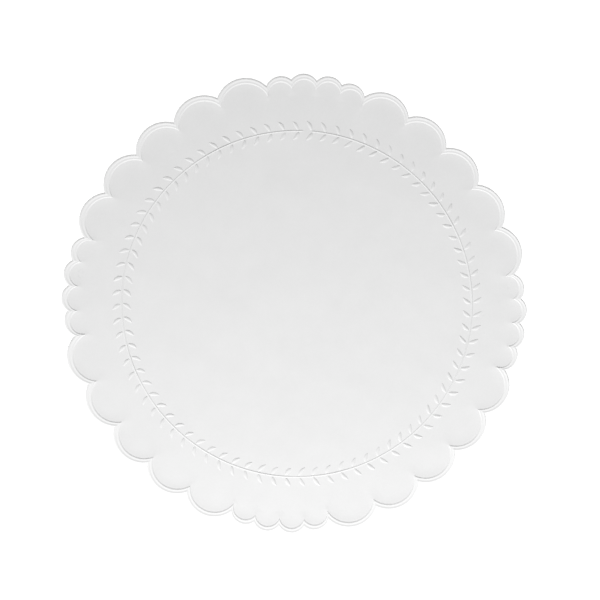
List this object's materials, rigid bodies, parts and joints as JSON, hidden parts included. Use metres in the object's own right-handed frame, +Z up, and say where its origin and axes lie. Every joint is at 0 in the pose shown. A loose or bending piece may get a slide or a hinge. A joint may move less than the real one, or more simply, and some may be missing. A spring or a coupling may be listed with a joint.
{
  "type": "multi-ply paper coaster",
  "caption": "Round white paper coaster of stacked tissue plies, with a scalloped crimped rim and an embossed ring of leaves on a thin stem.",
  "frame": {"origin": "middle of the underside, on the surface the coaster lies on", "axes": "+Z up, out of the embossed face; +X and +Y through the middles of two neighbouring groups of small scallops"},
  "size_m": [0.1016, 0.1015, 0.0015],
  "materials": {
    "face_tissue": "matte embossed white cellulose",
    "inner_tissue": "matte soft white cellulose",
    "back_tissue": "matte white cellulose"
  },
  "bodies": {
    "root": {"face_ply": "face_tissue", "inner_ply_1": "inner_tissue", "inner_ply_2": "inner_tissue", "inner_ply_3": "inner_tissue", "inner_ply_4": "inner_tissue", "inner_ply_5": "inner_tissue", "inner_ply_6": "inner_tissue", "back_ply": "back_tissue"}
  },
  "joints": []
}
